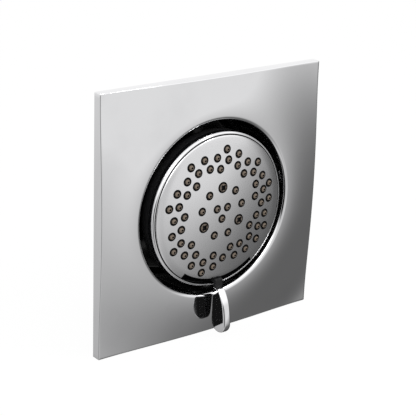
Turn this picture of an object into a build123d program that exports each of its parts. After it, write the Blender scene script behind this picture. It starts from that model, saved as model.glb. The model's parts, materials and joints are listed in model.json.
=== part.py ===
from build123d import *
import os
from math import cos, radians, sin, sqrt

# A flush shower body jet. Every piece is drawn about the spray axis: Z points out of the wall towards
# the user, Y points up, and the wall's face is at Z = 0. The last lines turn it so that Z is up.

# Trim plate, in millimetres as everywhere below
plate_side = 152.0
corner_thickness = 5.5
crest_height = 9.1
flat_radius = 104.0
opening_gap = 5.4
rim_roll = 2.4
plate_wall = 2.2
plate_corner_round = 1.0
plate_edge_round = 0.5
lip_height = 4.6

# Foam gasket behind the plate
gasket_width = 7.0
gasket_clearance = 0.3

# Recess cup and the screws that hold the plate to it
cup_depth = 34.0
cup_wall = 2.2
cup_floor = 2.4
cup_floor_round = 3.0
flange_front = 3.0
flange_thickness = 2.2
flange_gap = 0.6
boss_radius = 3.4
boss_sink = 0.5
plate_screw_radius = 1.25
plate_screw_head_radius = 2.6
plate_screw_length = 5.4
plate_screw_count = 4
boss_first_angle = 45.0
screw_clearance = 0.1
wall_hole_circle = 78.0
wall_hole_radius = 2.4
wall_hole_count = 4
wall_hole_first_angle = 45.0

# Brass inlet, its nut and washer, and what sits in its bore
shank_radius = 12.0
shank_clearance = 0.3
washer_thickness = 1.8
washer_width = 4.0
hex_across_flats = 32.0
hex_thickness = 6.5
barrel_radius = 13.2
barrel_length = 9.0
thread_radius = 9.3
thread_depth = 13.5
filter_radius = 7.8
filter_depth = 2.0
filter_plate = 0.5
filter_rim = 1.1
filter_hole_radius = 0.7
filter_hole_count = 8
filter_hole_circle = 4.0
inlet_bore = 4.6
nut_height = 4.5
nut_stand = 1.0

# Ball stem
ball_radius = 9.0
ball_depth = 14.0
neck_radius = 5.2
stem_bore = 3.4
tail_radius = 7.0
tail_length = 7.3
tail_clearance = 0.05
tail_room = 0.2
collar_radius = 8.6
collar_height = 1.3
regulator_radius = 5.6
regulator_depth = 2.8
regulator_hole_radius = 0.8
regulator_hole_count = 6
stem_ring_section = 0.48

# Socket that the ball sits in
ball_clearance = 0.05
seat_thickness = 1.95
seat_front = 0.4
seat_back = 6.6
socket_radius = 12.6
socket_wall = 3.0
socket_reach = 8.2
socket_tail = 7.6
socket_nut_flange = 14.4
socket_nut_flange_height = 2.8
socket_nut_bore = 8.9
socket_nut_notches = 4
notch_width = 3.0
notch_depth = 2.0
seal_front = 8.1
seal_back = 2.4
head_inlet_radius = 6.2

# Head housing and bezel
bezel_radius = 45.8
bezel_edge_height = 10.4
bezel_wall = 1.05
bezel_height = 12.5
bezel_land = 0.175
bezel_bulge = 0.175
bezel_seat = 7.8
bezel_clearance = 0.05
housing_inset = 0.4
housing_bend = 9.0
housing_floor = 2.2
plenum_inset = 8.6
plenum_floor = -3.2
disc_seat = -1.8
ledge_height = 2.9
spigot_wall = 1.3
spigot_gap = 0.35

# Spray face
face_centre_height = 15.1
face_edge_height = 12.6
face_gap = 0.35
face_thickness = 1.6
slot_gap = 0.6
slot_half_angle = 35.4
slot_room_angle = 1.0

# Nozzles: three in the middle, a ring of nine with three wide jets, and a spiral band.
# Their circles and steps are shares of the face's radius.
small_hole_radius = 2.6
wide_hole_radius = 3.3
nozzle_root_radius = 2.1
nozzle_tip_radius = 1.75
nozzle_bore = 0.55
nozzle_stand = 0.3
core_circle_share = 0.0946
core_count = 3
core_first_angle = 30.0
ring_circle_share = 0.3221
ring_count = 9
ring_first_angle = 10.0
wide_jet_count = 3
band_share = 0.5439
band_groups = 9
band_first_angle = 287.9
band_group_angle = 41.5
group_rise_share = 0.0061
spoke_angle = 14.9
spoke_rise_share = 0.0559
row_lean_angle = 2.9
row_step_share = 0.1541
row_shrink_share = 0.0086
third_row_share = 0.268

# Silicone mat, manifold and their seals
mat_inset = 0.2
mat_back = 9.0
jet_clearance = 0.05
jet_slot_width = 0.9
jet_slot_depth = 1.6
jet_slot_end = 0.5
manifold_gap = 1.5
manifold_back = 2.7
manifold_web = 2.3
manifold_flange_front = 8.4
manifold_clearance = 0.1
chamber_wall = 2.0
port_radius = 2.6
port_angle = 90.0
inner_port_circle = 12.0
outer_port_inset = 4.0
port_seal_width = 1.6
port_seal_height = 1.7
running_gap = 0.2
face_seal_gap = 0.05
chamber_ring_inset = 4.6
chamber_ring_section = 0.9
manifold_screw_gap = 0.3
manifold_screw_radius = 1.1
manifold_screw_head_radius = 1.7
manifold_screw_head_height = 1.2
manifold_screw_length = 9.0
manifold_screw_angles = (90, 200, 340)

# Selector disc and lever
disc_gap = 2.6
disc_clearance = 0.3
pivot_radius = 3.0
pivot_clearance = 0.06
lever_swing = 28.0
lug_half_angle = 6.4
lug_reach = 0.5
lug_root = 2.0
lug_clearance = 0.3
carrier_width = 5.0
carrier_foot_thickness = 2.2
carrier_clearance = 0.05
carrier_foot_sink = 3.4
carrier_gap = 0.4
carrier_thickness = 2.0
tongue_width = 2.8
tongue_length = 8.0
tongue_inset = 0.4
lever_width = 5.0
lever_gap = 0.5
lever_top_height = 17.3
lever_back = 12.3
lever_tip_radius = 5.95
lever_length = 20.7
lever_shoulder_run = 4.1
lever_shoulder_rise = 3.1
lever_belly_run = 9.9
lever_belly_rise = 5.5
lever_edge_round = 0.8
lever_screw_inset = 4.2
lever_screw_radius = 1.0
lever_screw_length = 2.0

# Margins: how far a cut starts outside what it cuts, the room past a screw's tip, and what counts as level
cut_margin = 1.0
drill_room = 0.3
sliver = 0.01

# Sizes that follow from the ones above
opening_radius = bezel_radius + opening_gap
crest_radius = opening_radius + rim_roll
hollow_radius = max(crest_radius, opening_radius + plate_wall)
sweep_radius = plate_side
inner_side = plate_side - 2 * plate_wall
gasket_side = inner_side - 2 * gasket_clearance
gasket_thickness = corner_thickness - plate_wall - gasket_clearance
cup_radius = opening_radius + cup_wall
flange_back = flange_front - flange_thickness
flange_radius = gasket_side / 2 - gasket_width - flange_gap
boss_circle = (cup_radius + flange_radius) / 2
cup_back = -cup_depth - cup_floor
hex_front = cup_back - washer_thickness
hex_back = hex_front - hex_thickness
inlet_back = hex_back - barrel_length
filter_back = inlet_back + thread_depth
inlet_front = -cup_depth + nut_height + nut_stand
ball_height = -ball_depth
seat_inner = ball_radius + ball_clearance
seat_outer = seat_inner + seat_thickness
nut_sphere = seat_outer + ball_clearance
housing_radius = bezel_radius - housing_inset
spigot_radius = bezel_radius - bezel_wall - bezel_clearance
housing_bore = spigot_radius - spigot_wall
face_radius = bezel_radius - bezel_wall - face_gap
core_circle_radius = core_circle_share * face_radius
ring_circle_radius = ring_circle_share * face_radius
dome_drop = face_centre_height - face_edge_height
dome_radius = (face_radius**2 + dome_drop**2) / (2 * dome_drop)
spigot_front = face_edge_height - face_thickness - spigot_gap
carrier_foot_inner = housing_bore - carrier_foot_thickness
slot_inner_radius = carrier_foot_inner - slot_gap
manifold_radius = carrier_foot_inner - manifold_gap
mat_radius = manifold_radius - mat_inset
manifold_screw_circle = mat_radius + manifold_screw_head_radius + manifold_screw_gap
disc_radius = carrier_foot_inner - disc_gap
plenum_radius = disc_radius - plenum_inset
chamber_ring_circle = disc_radius - chamber_ring_inset
outer_port_circle = plenum_radius - outer_port_inset
chamber_split_radius = (inner_port_circle + outer_port_circle) / 2
lug_radius = housing_bore + lug_reach
cavity_radius = disc_radius + disc_clearance
disc_back = disc_seat + running_gap
disc_front = manifold_back - running_gap
carrier_back = bezel_height + carrier_gap
carrier_front = carrier_back + carrier_thickness
tongue_back = carrier_back + tongue_inset
tongue_front = carrier_front - tongue_inset
lever_top_radius = bezel_radius + lever_gap
lever_tip_circle = lever_top_radius + lever_length
lever_screw_circle = lever_top_radius + lever_screw_inset
lever_tip_height = lever_back + lever_tip_radius


def turned(*edges):
    """A solid of revolution from an outline of radius and height."""
    return revolve(Plane.XZ * make_face(Curve() + list(edges)), Axis.Z)


def turned_polygon(*points):
    """A solid of revolution whose outline has only straight sides."""
    return turned(Polyline(*points, close=True))


def rod(radius, low, high):
    """A cylinder on the axis between two heights."""
    return Pos(0, 0, low) * extrude(Circle(radius), high - low)


def tube(inner, outer, low, high):
    """A plain ring between two heights."""
    return rod(outer, low, high) - rod(inner, low, high)


def hexagon(across_flats, low, high):
    """A hexagonal prism on the axis between two heights."""
    return Pos(0, 0, low) * extrude(RegularPolygon(across_flats / 2, 6, major_radius=False), high - low)


def at(radius, angle):
    """A place on a circle about the axis; the angle runs from +X towards +Y."""
    return Pos(radius * cos(radians(angle)), radius * sin(radians(angle)), 0)


def sector(inner, outer, low, high, middle, half_angle):
    """A piece of a ring that spans an angle on each side of its middle."""
    edge_angles = (middle - half_angle, middle, middle + half_angle)
    inner_points = [(inner * cos(radians(a)), inner * sin(radians(a))) for a in edge_angles]
    outer_points = [(outer * cos(radians(a)), outer * sin(radians(a))) for a in edge_angles]
    outline = [
        ThreePointArc(*inner_points),
        Line(inner_points[2], outer_points[2]),
        ThreePointArc(*outer_points),
        Line(outer_points[0], inner_points[0]),
    ]
    return Pos(0, 0, low) * extrude(make_face(Curve() + outline), high - low)


def dome(radius, below=0.0):
    """Height of the spray face, or of a surface that far below it, at a radius."""
    centre = face_centre_height - dome_radius
    return centre + sqrt((dome_radius - below) ** 2 - radius**2)


def dome_arc(radius, below=0.0):
    """The face's curve from the axis out to a radius."""
    return ThreePointArc(*[(r, dome(r, below)) for r in (0, radius / 2, radius)])


def dish(start_radius, below=0.0):
    """The plate's front curve: level at the crest, level again towards the corners."""
    reach = (flat_radius - start_radius) / 3
    high = crest_height - below
    low = corner_thickness - below
    near_crest = [(start_radius, high), (start_radius + reach, high)]
    near_corner = [(flat_radius - reach, low), (flat_radius, low)]
    return Bezier(*near_crest, *near_corner)


def small_nozzles():
    """Radius and angle of each small nozzle."""
    places = [(core_circle_radius, core_first_angle + 360 / core_count * i) for i in range(core_count)]
    places += [(ring_circle_radius, a) for i, a in enumerate(ring_angles()) if (i + 1) % (ring_count // wide_jet_count)]
    for group in range(band_groups):
        for spoke in range(3):
            last_group = group == band_groups - 1
            if last_group and spoke == 2:
                continue
            angle = band_first_angle + group * band_group_angle + spoke * spoke_angle
            share = band_share + group * group_rise_share + spoke * spoke_rise_share
            radius = share * face_radius
            places.append((radius, angle))
            if not (last_group and spoke == 1):
                step = (row_step_share - spoke * row_shrink_share) * face_radius
                places.append((radius + step, angle + row_lean_angle))
            if group in (1, 2) and spoke == 0:
                places.append((radius + third_row_share * face_radius, angle + 2 * row_lean_angle))
    return places


def ring_angles():
    """Angles of the inner ring's nozzles; every third one is a wide jet."""
    return [ring_first_angle + 360 / ring_count * i for i in range(ring_count)]


def wide_jets():
    """Radius and angle of each wide jet."""
    step = ring_count // wide_jet_count
    return [(ring_circle_radius, a) for a in ring_angles()[step - 1 :: step]]


def boss_angles():
    """Angles of the plate's screw bosses, towards the corners."""
    return [boss_first_angle + 360 / plate_screw_count * i for i in range(plate_screw_count)]


def on_plate_edge(point):
    """Whether a point lies on the front edge of the plate's four sides."""
    side = max(abs(point.X), abs(point.Y))
    return side > plate_side / 2 - plate_corner_round and point.Z > corner_thickness - sliver


def trim_plate():
    """Square dished plate with a rolled rim, hollow behind, with four screw bosses."""
    roll_low = crest_height - rim_roll
    roll_middle = (crest_radius - rim_roll * cos(radians(45)), roll_low + rim_roll * sin(radians(45)))
    solid = turned(
        Line((opening_radius, 0), (opening_radius, roll_low)),
        ThreePointArc((opening_radius, roll_low), roll_middle, (crest_radius, crest_height)),
        dish(crest_radius),
        Polyline(
            (flat_radius, corner_thickness),
            (sweep_radius, corner_thickness),
            (sweep_radius, 0),
            (opening_radius, 0),
        ),
    )
    solid &= extrude(RectangleRounded(plate_side, plate_side, plate_corner_round), 2 * crest_height)
    solid = fillet([e for e in solid.edges() if on_plate_edge(e.center())], plate_edge_round)
    under = crest_height - plate_wall
    hollow = turned(
        Polyline(
            (opening_radius - plate_wall, -cut_margin),
            (opening_radius - plate_wall, lip_height),
            (hollow_radius, lip_height),
            (hollow_radius, under),
        ),
        dish(hollow_radius, plate_wall),
        Polyline(
            (flat_radius, corner_thickness - plate_wall),
            (sweep_radius, corner_thickness - plate_wall),
            (sweep_radius, -cut_margin),
            (opening_radius - plate_wall, -cut_margin),
        ),
    )
    hollow &= Box(inner_side, inner_side, 4 * crest_height)
    solid -= hollow
    for angle in boss_angles():
        solid += at(boss_circle, angle) * rod(boss_radius, flange_front, under + boss_sink)
    pilot_end = flange_back + plate_screw_length + drill_room
    pilot = rod(plate_screw_radius + screw_clearance, flange_front, pilot_end)
    for angle in boss_angles():
        solid -= at(boss_circle, angle) * pilot
    return solid


def wall_gasket():
    """Foam frame inside the plate's edge."""
    inner = gasket_side - 2 * gasket_width
    return extrude(Rectangle(gasket_side, gasket_side) - Rectangle(inner, inner), gasket_thickness)


def screw_sink(radius, head_radius):
    """A countersunk screw's outline, head at the flange's back, with room added to its radii."""
    head_height = head_radius - radius
    tip = flange_back + plate_screw_length
    return turned_polygon(
        (0, flange_back),
        (head_radius, flange_back),
        (radius, flange_back + head_height),
        (radius, tip),
        (0, tip),
    )


def recess_cup():
    """Black cup behind the opening, with a flange for the plate's screws and four wall screw holes."""
    solid = turned_polygon(
        (opening_radius, lip_height),
        (opening_radius, -cup_depth),
        (shank_radius + shank_clearance, -cup_depth),
        (shank_radius + shank_clearance, cup_back),
        (cup_radius, cup_back),
        (cup_radius, flange_back),
        (flange_radius, flange_back),
        (flange_radius, flange_front),
        (cup_radius, flange_front),
        (cup_radius, lip_height),
    )
    corners = [
        e
        for e in solid.edges().filter_by(GeomType.CIRCLE)
        if e.radius > opening_radius - sliver and e.center().Z < -cup_depth + sliver
    ]
    solid = fillet(corners, cup_floor_round)
    sink = screw_sink(plate_screw_radius + screw_clearance, plate_screw_head_radius + screw_clearance)
    for angle in boss_angles():
        solid -= at(boss_circle, angle) * sink
    hole = rod(wall_hole_radius, cup_back - cut_margin, -cup_depth + cut_margin)
    for i in range(wall_hole_count):
        angle = wall_hole_first_angle + 360 / wall_hole_count * i
        solid -= at(wall_hole_circle / 2, angle) * hole
    return solid


def plate_screws():
    """The countersunk screws from the flange into the plate's bosses."""
    screw = screw_sink(plate_screw_radius, plate_screw_head_radius)
    return Compound(children=[at(boss_circle, angle) * screw for angle in boss_angles()])


def inlet_fitting():
    """Brass body: threaded socket behind, hexagon, and a shank through the cup's floor."""
    solid = rod(shank_radius, hex_front, inlet_front)
    solid += hexagon(hex_across_flats, hex_back, hex_front)
    solid += rod(barrel_radius, inlet_back, hex_back)
    solid -= rod(thread_radius, inlet_back, filter_back)
    solid -= rod(filter_radius, filter_back, filter_back + filter_depth)
    solid -= rod(inlet_bore, filter_back, inlet_front)
    solid -= rod(tail_radius + tail_clearance, inlet_front - tail_length - tail_room, inlet_front)
    return solid


def inlet_washer():
    """Rubber washer between the hexagon and the cup's floor."""
    inner = shank_radius + shank_clearance
    return tube(inner, inner + washer_width, hex_front, cup_back)


def lock_nut():
    """Hexagon nut on the shank, inside the cup, with its corners turned off."""
    low = -cup_depth
    high = low + nut_height
    solid = hexagon(hex_across_flats, low, high)
    corner = hex_across_flats / 2 / cos(radians(30))
    drop = corner - hex_across_flats / 2
    blank = turned_polygon(
        (0, low), (corner, low), (corner, high - drop / 2), (corner - drop, high), (0, high)
    )
    return (solid & blank) - rod(shank_radius + tail_clearance, low, high)


def filter_screen():
    """Sieve: a thin disc with holes inside a rim."""
    outer = filter_radius - tail_clearance
    solid = rod(outer, filter_back, filter_back + filter_plate)
    solid += tube(outer - filter_rim, outer, filter_back, filter_back + filter_depth)
    hole = rod(filter_hole_radius, filter_back, filter_back + filter_plate)
    solid -= hole
    for i in range(filter_hole_count):
        solid -= at(filter_hole_circle, 360 / filter_hole_count * i) * hole
    return solid


def ball_stem():
    """Hollow stem: tail in the fitting, collar, neck and the ball that the head turns on."""
    tail_back = inlet_front - tail_length
    ring_middle = inlet_front - tail_length / 2
    solid = rod(tail_radius, tail_back, inlet_front)
    solid += rod(collar_radius, inlet_front, inlet_front + collar_height)
    solid += rod(neck_radius, inlet_front, ball_height)
    solid += Pos(0, 0, ball_height) * Sphere(ball_radius)
    solid -= rod(stem_bore, tail_back, ball_height + 2 * ball_radius)
    solid -= rod(regulator_radius, tail_back, tail_back + regulator_depth)
    half_groove = stem_ring_section + tail_clearance
    groove_floor = tail_radius - 2 * stem_ring_section
    return solid - tube(groove_floor, 2 * tail_radius, ring_middle - half_groove, ring_middle + half_groove)


def stem_o_ring():
    """O-ring in the groove of the stem's tail."""
    ring_middle = inlet_front - tail_length / 2
    return Pos(0, 0, ring_middle) * Torus(tail_radius - stem_ring_section, stem_ring_section)


def flow_regulator():
    """Flow limiter in the stem's tail."""
    low = inlet_front - tail_length
    outer = regulator_radius - tail_clearance
    solid = rod(outer, low, low + regulator_depth)
    hole = rod(regulator_hole_radius, low, low + regulator_depth)
    for i in range(regulator_hole_count):
        solid -= at(stem_bore - regulator_hole_radius, 360 / regulator_hole_count * i) * hole
    return solid


def ball_seat():
    """Plastic ring with round inner and outer faces, behind the ball."""
    shell = Sphere(seat_outer) - Sphere(seat_inner)
    return Pos(0, 0, ball_height) * (shell & rod(2 * seat_outer, -seat_back, -seat_front))


def socket_nut():
    """Threaded ring that holds the seat on the ball, with notches for a spanner."""
    low = -socket_tail - socket_nut_flange_height
    solid = rod(socket_radius - manifold_clearance, -socket_tail, -seat_front)
    solid += rod(socket_nut_flange, low, -socket_tail)
    solid -= Sphere(nut_sphere)
    solid -= rod(socket_nut_bore, low, -seat_front)
    for i in range(socket_nut_notches):
        notch = Box(2 * notch_depth, notch_width, 2 * socket_nut_flange_height)
        place = Rot(0, 0, 360 / socket_nut_notches * i) * Pos(socket_nut_flange, 0, low)
        solid -= place * notch
    return Pos(0, 0, ball_height) * solid


def ball_seal():
    """Rubber ring in front of the ball, hollowed to its round face."""
    solid = tube(head_inlet_radius, socket_radius - manifold_clearance, seal_back, seal_front)
    return Pos(0, 0, ball_height) * (solid - Sphere(seat_inner))


def slot_cut(inner, outer, low, high, extra=0.0):
    """The curved slot at the bottom of the head, widened by an angle on each side."""
    return sector(inner, outer, low, high, 270, slot_half_angle + extra)


def screw_places():
    """Places of the manifold's screws."""
    return [at(manifold_screw_circle, angle) for angle in manifold_screw_angles]


def head_body():
    """Black housing: ball socket behind, disc chamber, and a spigot for the bezel."""
    shoulder = ball_height + socket_reach
    tail = ball_height - socket_tail
    socket_outer = socket_radius + socket_wall
    floor_back = plenum_floor - housing_floor
    bend_start = housing_radius - housing_bend
    bend_end = floor_back + housing_bend
    bend_part = housing_bend * cos(radians(45))
    bend_middle = (bend_start + bend_part, bend_end - bend_part)
    solid = turned(
        Polyline(
            (head_inlet_radius, plenum_floor),
            (head_inlet_radius, shoulder),
            (socket_radius, shoulder),
            (socket_radius, tail),
            (socket_outer, tail),
            (socket_outer, floor_back - housing_floor),
            (socket_outer + housing_floor, floor_back),
            (bend_start, floor_back),
        ),
        ThreePointArc((bend_start, floor_back), bend_middle, (housing_radius, bend_end)),
        Polyline(
            (housing_radius, bend_end),
            (housing_radius, bezel_seat),
            (spigot_radius, bezel_seat),
            (spigot_radius, spigot_front),
            (housing_bore, spigot_front),
            (housing_bore, ledge_height),
            (cavity_radius, ledge_height),
            (cavity_radius, disc_seat),
            (plenum_radius, disc_seat),
            (plenum_radius, plenum_floor),
            (head_inlet_radius, plenum_floor),
        ),
    )
    solid -= slot_cut(disc_radius, lug_radius + lug_clearance, disc_seat, bezel_seat, slot_room_angle)
    solid -= slot_cut(disc_radius, 2 * housing_radius, bezel_seat, 2 * spigot_front, slot_room_angle)
    ring = chamber_ring_section
    groove_floor = disc_back - 2 * ring - face_seal_gap
    solid -= tube(chamber_ring_circle - ring, chamber_ring_circle + ring, groove_floor, 0)
    low = manifold_flange_front - manifold_screw_length - drill_room
    for place in screw_places():
        solid -= place * rod(manifold_screw_radius + screw_clearance, low, ledge_height)
    return solid


def chamber_o_ring():
    """O-ring between the housing and the selector disc."""
    middle = disc_back - chamber_ring_section - face_seal_gap
    return Pos(0, 0, middle) * Torus(chamber_ring_circle, chamber_ring_section)


def port_places():
    """Places of the two ports, above the pivot."""
    return [at(circle, port_angle) for circle in (inner_port_circle, outer_port_circle)]


def manifold():
    """Water guide: two ring chambers in front, two ports and a pivot behind."""
    web_front = manifold_back + manifold_web
    flange = housing_bore - manifold_clearance
    flange_seat = ledge_height + manifold_clearance
    solid = rod(cavity_radius - manifold_clearance, manifold_back, flange_seat)
    solid += rod(manifold_radius, flange_seat, mat_back)
    solid += tube(manifold_radius, flange, flange_seat, manifold_flange_front)
    split = chamber_split_radius
    solid -= rod(split - chamber_wall / 2, web_front, mat_back)
    solid -= tube(split + chamber_wall / 2, manifold_radius - chamber_wall, web_front, mat_back)
    solid -= slot_cut(manifold_radius, 2 * flange, manifold_back, mat_back, slot_room_angle)
    pocket_front = disc_front + face_seal_gap + port_seal_height
    seal_pocket = rod(port_radius + port_seal_width, manifold_back, pocket_front)
    for place in port_places():
        solid -= place * seal_pocket
        solid -= place * rod(port_radius, manifold_back, mat_back)
    for place in screw_places():
        solid -= place * rod(manifold_screw_radius + screw_clearance, manifold_back, mat_back)
    return solid + rod(pivot_radius, disc_back, web_front)


def port_seals():
    """Rubber rings round the ports, against the disc."""
    low = disc_front + face_seal_gap
    seal = tube(port_radius, port_radius + port_seal_width - tail_clearance, low, low + port_seal_height)
    return Compound(children=[place * seal for place in port_places()])


def manifold_screws():
    """Screws that hold the manifold on the housing's ledge."""
    top = manifold_flange_front
    screw = rod(manifold_screw_radius, top - manifold_screw_length, top)
    screw += rod(manifold_screw_head_radius, top, top + manifold_screw_head_height)
    return Compound(children=[place * screw for place in screw_places()])


def nozzle_mat():
    """Silicone mat under the face, with a tapered nozzle through each small hole."""
    solid = turned(
        Line((0, mat_back), (0, dome(0, face_thickness))),
        dome_arc(mat_radius, face_thickness),
        Polyline((mat_radius, dome(mat_radius, face_thickness)), (mat_radius, mat_back), (0, mat_back)),
    )
    nozzles = []
    bores = []
    for radius, angle in small_nozzles():
        tip = dome(radius) + nozzle_stand
        taper = turned_polygon(
            (0, mat_back),
            (nozzle_root_radius, mat_back),
            (nozzle_root_radius, dome(radius, face_thickness)),
            (nozzle_tip_radius, tip),
            (0, tip),
        )
        nozzles.append(at(radius, angle) * taper)
        bores.append(at(radius, angle) * rod(nozzle_bore, mat_back - cut_margin, tip + cut_margin))
    for radius, angle in wide_jets():
        passage = rod(wide_jet_radius() + jet_clearance, mat_back - cut_margin, 2 * mat_back)
        bores.append(at(radius, angle) * passage)
    return solid + nozzles - bores


def wide_jet_radius():
    """Radius of a wide jet, as far inside its hole as a small nozzle's root is inside its own."""
    return wide_hole_radius - (small_hole_radius - nozzle_root_radius)


def massage_jets():
    """Wide jets with a cross-shaped orifice."""
    jets = []
    for radius, angle in wide_jets():
        tip = dome(radius) + nozzle_stand
        jet = rod(wide_jet_radius(), mat_back, tip)
        reach = 2 * (wide_jet_radius() - jet_slot_end)
        for turn in (0, 90):
            slot = Pos(0, 0, tip) * Box(reach, jet_slot_width, 2 * jet_slot_depth)
            jet -= Rot(0, 0, turn) * slot
        jet -= rod(jet_slot_width, mat_back - cut_margin, tip)
        jets.append(at(radius, angle) * jet)
    return Compound(children=jets)


def face_plate():
    """Domed spray face with the nozzle holes and the curved slot for the lever."""
    solid = turned(
        Line((0, dome(0, face_thickness)), (0, dome(0))),
        dome_arc(face_radius),
        Line((face_radius, dome(face_radius)), (face_radius, dome(face_radius, face_thickness))),
        dome_arc(face_radius, face_thickness),
    )
    low = dome(face_radius, face_thickness) - cut_margin
    high = face_centre_height + cut_margin
    holes = [at(r, a) * rod(small_hole_radius, low, high) for r, a in small_nozzles()]
    holes += [at(r, a) * rod(wide_hole_radius, low, high) for r, a in wide_jets()]
    return solid - holes - slot_cut(slot_inner_radius, 2 * face_radius, low, high)


def bezel_ring():
    """Chrome ring over the housing's spigot, with a rounded bevel down to its outer edge."""
    inner = bezel_radius - bezel_wall
    half_height = (bezel_edge_height + bezel_height) / 2
    bevel_middle = (bezel_radius - bezel_bulge, half_height + bezel_bulge)
    return turned(
        Polyline(
            (inner + bezel_land, bezel_height),
            (inner, bezel_height),
            (inner, bezel_seat),
            (bezel_radius, bezel_seat),
            (bezel_radius, bezel_edge_height),
        ),
        ThreePointArc((bezel_radius, bezel_edge_height), bevel_middle, (inner + bezel_land, bezel_height)),
    )


def window(circle, start, end):
    """Curved port window in the disc between two angles."""
    low = disc_back - cut_margin
    high = disc_front + cut_margin
    middle = (start + end) / 2
    solid = sector(circle - port_radius, circle + port_radius, low, high, middle, (end - start) / 2)
    for angle in (start, end):
        solid += at(circle, angle) * rod(port_radius, low, high)
    return solid


def foot_box(room):
    """The carrier's foot, or with room added, the pocket that it sits in."""
    thickness = carrier_foot_thickness + 2 * room
    middle = carrier_foot_inner + carrier_foot_thickness / 2
    low = disc_front - carrier_foot_sink
    high = carrier_front
    return Pos(0, -middle, (low + high) / 2) * Box(carrier_width + 2 * room, thickness, high - low)


def selector_disc():
    """Port disc on the manifold's pivot, with a lug that takes the lever's carrier."""
    solid = rod(disc_radius, disc_back, disc_front)
    solid += sector(disc_radius - lug_root, lug_radius, disc_back, disc_front, 270, lug_half_angle)
    solid -= rod(pivot_radius + pivot_clearance, disc_back, disc_front)
    solid -= window(inner_port_circle, port_angle - lever_swing, port_angle)
    solid -= window(outer_port_circle, port_angle, port_angle + lever_swing)
    return solid - foot_box(carrier_clearance)


def lever_carrier():
    """Dark arm: foot in the disc's lug, elbow over the bezel and a tongue for the tab."""
    elbow_round = carrier_thickness / 2
    side = make_face(
        Polyline(
            (-carrier_foot_inner, disc_front),
            (-carrier_foot_inner, carrier_front),
            (-lever_top_radius, carrier_front),
            (-lever_top_radius, carrier_back),
            (-carrier_foot_inner - carrier_foot_thickness, carrier_back),
            (-carrier_foot_inner - carrier_foot_thickness, disc_front),
            close=True,
        )
    )
    solid = extrude(Plane.YZ * side, carrier_width / 2, both=True)
    edge = solid.edges().filter_by(Axis.X).sort_by_distance((0, -carrier_foot_inner, carrier_front))[0]
    solid = fillet(edge, elbow_round)
    low = disc_front - carrier_foot_sink
    solid += foot_box(0) & rod(lug_radius, low, disc_front)
    tongue_middle = -lever_top_radius - tongue_length / 2
    tongue = Box(tongue_width, tongue_length, tongue_front - tongue_back)
    solid += Pos(0, tongue_middle, (tongue_front + tongue_back) / 2) * tongue
    hole = rod(lever_screw_radius + carrier_clearance, lever_back, tongue_front)
    return solid - Pos(0, -lever_screw_circle, 0) * hole


def lever():
    """Chrome tab: a flat teardrop with a round lower end, pocketed for its carrier's tongue."""
    tip_front = lever_back + 2 * lever_tip_radius
    tip_end = (-lever_tip_circle - lever_tip_radius, lever_tip_height)
    outline = [
        Line((-lever_top_radius, lever_back), (-lever_top_radius, lever_top_height)),
        Spline(
            (-lever_top_radius, lever_top_height),
            (-lever_top_radius - lever_shoulder_run, lever_top_height + lever_shoulder_rise),
            (-lever_top_radius - lever_belly_run, lever_top_height + lever_belly_rise),
            (-lever_tip_circle, tip_front),
            tangents=((-1, 1), (-1, 0)),
        ),
        ThreePointArc((-lever_tip_circle, tip_front), tip_end, (-lever_tip_circle, lever_back)),
        Line((-lever_tip_circle, lever_back), (-lever_top_radius, lever_back)),
    ]
    solid = extrude(Plane.YZ * make_face(Curve() + outline), lever_width / 2, both=True)
    below_top = solid.edges().filter_by(lambda e: e.center().Y < -lever_top_radius)
    rounded = below_top.filter_by(lambda e: abs(e.center().X) > lever_width / 4)
    solid = fillet(rounded, lever_edge_round)
    room = carrier_clearance
    pocket_length = tongue_length + tongue_inset
    pocket = Box(tongue_width + 2 * room, pocket_length, tongue_front - tongue_back + 2 * room)
    pocket_middle = -lever_top_radius - pocket_length / 2
    solid -= Pos(0, pocket_middle, (tongue_front + tongue_back) / 2) * pocket
    hole = rod(lever_screw_radius + room, lever_back - cut_margin, tongue_back)
    return solid - Pos(0, -lever_screw_circle, 0) * hole


def lever_screw():
    """Grub screw through the tab's back into the tongue."""
    low = lever_back + tongue_inset / 2
    return Pos(0, -lever_screw_circle, 0) * rod(lever_screw_radius, low, low + lever_screw_length)


pieces = (
    trim_plate,
    wall_gasket,
    recess_cup,
    plate_screws,
    inlet_fitting,
    inlet_washer,
    lock_nut,
    filter_screen,
    ball_stem,
    stem_o_ring,
    flow_regulator,
    ball_seat,
    socket_nut,
    ball_seal,
    head_body,
    chamber_o_ring,
    manifold,
    port_seals,
    manifold_screws,
    nozzle_mat,
    massage_jets,
    face_plate,
    bezel_ring,
    selector_disc,
    lever_carrier,
    lever,
    lever_screw,
)

os.makedirs("parts", exist_ok=True)
for piece in pieces:
    export_step(Rot(90, 0, 0) * piece(), f"parts/{piece.__name__}.step")
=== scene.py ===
import json
from math import cos, pi, radians, sin, sqrt, tau

import bpy
from mathutils import Matrix, Vector


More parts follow.
